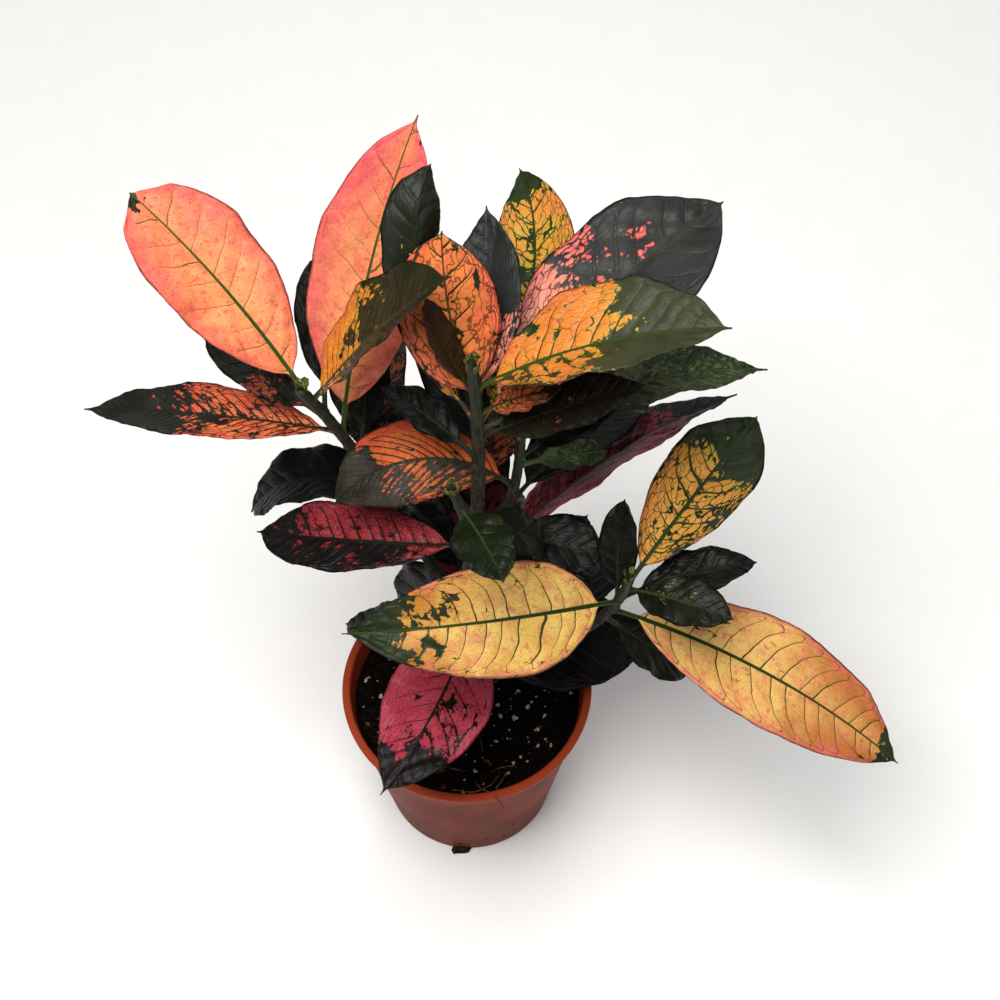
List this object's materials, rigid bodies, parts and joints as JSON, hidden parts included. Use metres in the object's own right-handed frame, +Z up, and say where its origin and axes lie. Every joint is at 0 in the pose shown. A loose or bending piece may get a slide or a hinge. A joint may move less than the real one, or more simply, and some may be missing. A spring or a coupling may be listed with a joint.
{
  "type": "potted croton",
  "caption": "Potted croton: a tapered nursery pot filled with soil, and a forked woody stem with large leathery leaves in yellow, orange, coral, crimson and near black.",
  "frame": {"origin": "the middle of the pot's flat base, on the surface it stands on", "axes": "+Z up along the pot's axis; the plant is seen in the usual way from -Y, with +X to the right"},
  "size_m": [0.3619, 0.2039, 0.4117],
  "materials": {
    "pot": "satin",
    "soil": "matte",
    "stem": "matte",
    "leaf_coral": "satin",
    "leaf_orange": "satin",
    "leaf_yellow": "satin",
    "leaf_crimson": "satin",
    "leaf_red": "satin",
    "leaf_green": "satin",
    "leaf_dark": "satin"
  },
  "bodies": {
    "root": {"pot": "pot", "soil": "soil", "stem": "stem", "leaf_left_1": "leaf_coral", "leaf_left_2": "leaf_orange", "leaf_left_3": "leaf_dark", "leaf_left_4": "leaf_dark", "leaf_left_5": "leaf_dark", "leaf_left_6": "leaf_coral", "leaf_left_7": "leaf_dark", "leaf_left_8": "leaf_dark", "leaf_left_9": "leaf_dark", "leaf_crown_1": "leaf_dark", "leaf_crown_2": "leaf_orange", "leaf_crown_3": "leaf_orange", "leaf_crown_4": "leaf_dark", "leaf_crown_5": "leaf_dark", "leaf_crown_6": "leaf_yellow", "leaf_crown_7": "leaf_dark", "leaf_crown_8": "leaf_red", "leaf_crown_9": "leaf_green", "leaf_crown_10": "leaf_dark", "leaf_crown_11": "leaf_dark", "leaf_crown_12": "leaf_dark", "leaf_crown_13": "leaf_dark", "leaf_crown_14": "leaf_dark", "leaf_crown_15": "leaf_dark", "leaf_crown_16": "leaf_dark", "leaf_crown_17": "leaf_dark", "leaf_crown_18": "leaf_dark", "leaf_crown_19": "leaf_dark", "leaf_crown_20": "leaf_crimson", "leaf_crown_21": "leaf_crimson", "leaf_crown_22": "leaf_crimson", "leaf_crown_23": "leaf_dark", "leaf_mid_1": "leaf_dark", "leaf_mid_2": "leaf_green", "leaf_mid_3": "leaf_red", "leaf_mid_4": "leaf_dark", "leaf_mid_5": "leaf_dark", "leaf_mid_6": "leaf_crimson", "leaf_front_1": "leaf_green", "leaf_front_2": "leaf_dark", "leaf_front_3": "leaf_crimson", "leaf_front_4": "leaf_dark", "leaf_right_1": "leaf_yellow", "leaf_right_2": "leaf_green", "leaf_right_3": "leaf_dark", "leaf_right_4": "leaf_dark", "leaf_right_5": "leaf_yellow", "leaf_right_6": "leaf_yellow", "leaf_right_7": "leaf_dark", "leaf_right_8": "leaf_dark", "leaf_right_9": "leaf_dark"}
  },
  "joints": []
}
